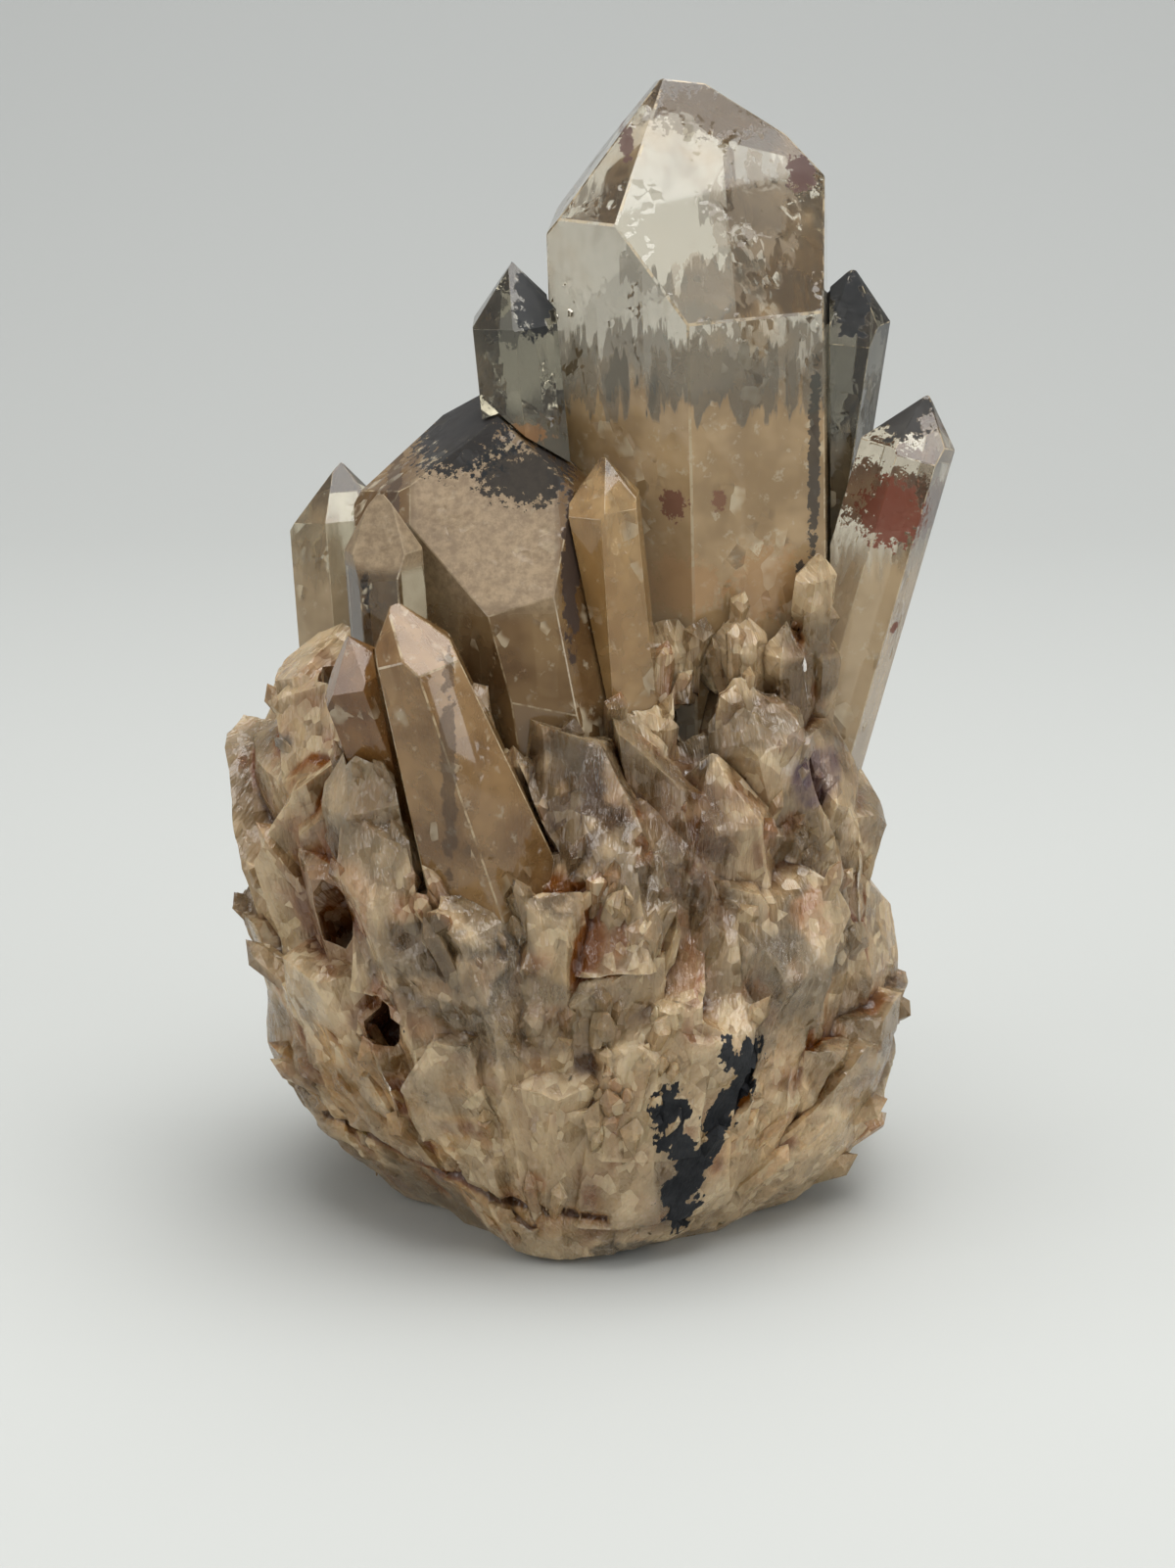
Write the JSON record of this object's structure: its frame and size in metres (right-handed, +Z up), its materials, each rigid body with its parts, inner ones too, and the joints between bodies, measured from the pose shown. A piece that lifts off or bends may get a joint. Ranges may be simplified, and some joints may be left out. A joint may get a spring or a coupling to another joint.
{
  "type": "citrine crystal cluster",
  "caption": "Hand-sized quartz cluster: clear to smoky yellow crystals of mixed sizes standing on a rough root of milky broken quartz.",
  "frame": {"origin": "middle of the bounding box, at the level of the surface that the root stands on", "axes": "+Z up, -Y towards the side with the largest crystal faces, +X to the right seen from there"},
  "size_m": [0.0738, 0.0586, 0.1121],
  "materials": {
    "milky_quartz": "rough, broken, slightly see-through at its edges",
    "clear_quartz": "clear, glossy, veiled and milky towards the foot",
    "smoky_quartz": "brownish yellow, glossy to frosted, cloudy inside"
  },
  "bodies": {
    "root": {"quartz_root": "milky_quartz", "main_crystal": "clear_quartz", "left_shoulder_crystal": "clear_quartz", "right_shoulder_crystal": "clear_quartz", "leaning_right_crystal": "clear_quartz", "broad_left_crystal": "smoky_quartz", "far_left_crystal": "clear_quartz", "grey_tipped_crystal": "smoky_quartz", "wedge_crystal": "smoky_quartz", "front_leaning_crystal": "smoky_quartz", "small_front_crystal": "smoky_quartz", "back_left_crystal": "clear_quartz", "back_right_crystal": "clear_quartz"}
  },
  "joints": []
}
